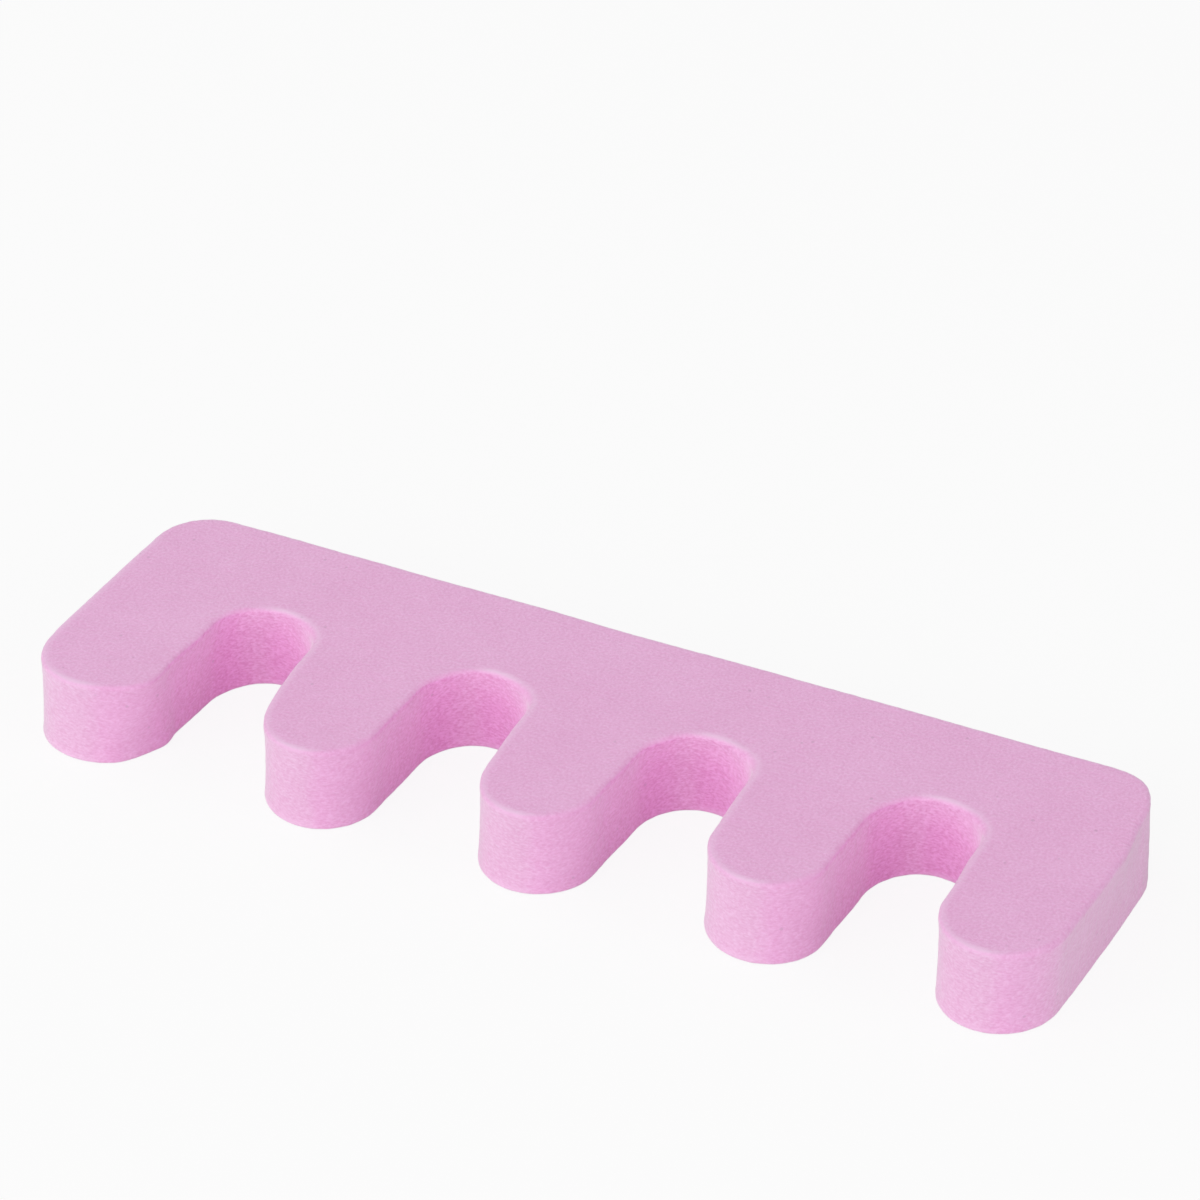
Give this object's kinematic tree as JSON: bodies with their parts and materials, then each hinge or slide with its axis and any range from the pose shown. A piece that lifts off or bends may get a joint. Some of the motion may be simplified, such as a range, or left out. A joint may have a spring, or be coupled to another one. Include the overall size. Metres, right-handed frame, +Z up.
{
  "type": "toe separator",
  "caption": "Flat comb of soft foam with round-ended fingers and round-bottomed slots between them, which holds the toes of one foot apart.",
  "frame": {"origin": "on the surface the comb lies on, under the middle of its length and depth", "axes": "+X along the comb's length, +Y towards its straight back edge with the fingers pointing to -Y, +Z up through its thickness"},
  "size_m": [0.1, 0.029, 0.0089],
  "materials": {
    "foam": "matte, fine-celled soft foam"
  },
  "bodies": {
    "root": {"foam_comb": "foam"}
  },
  "joints": []
}
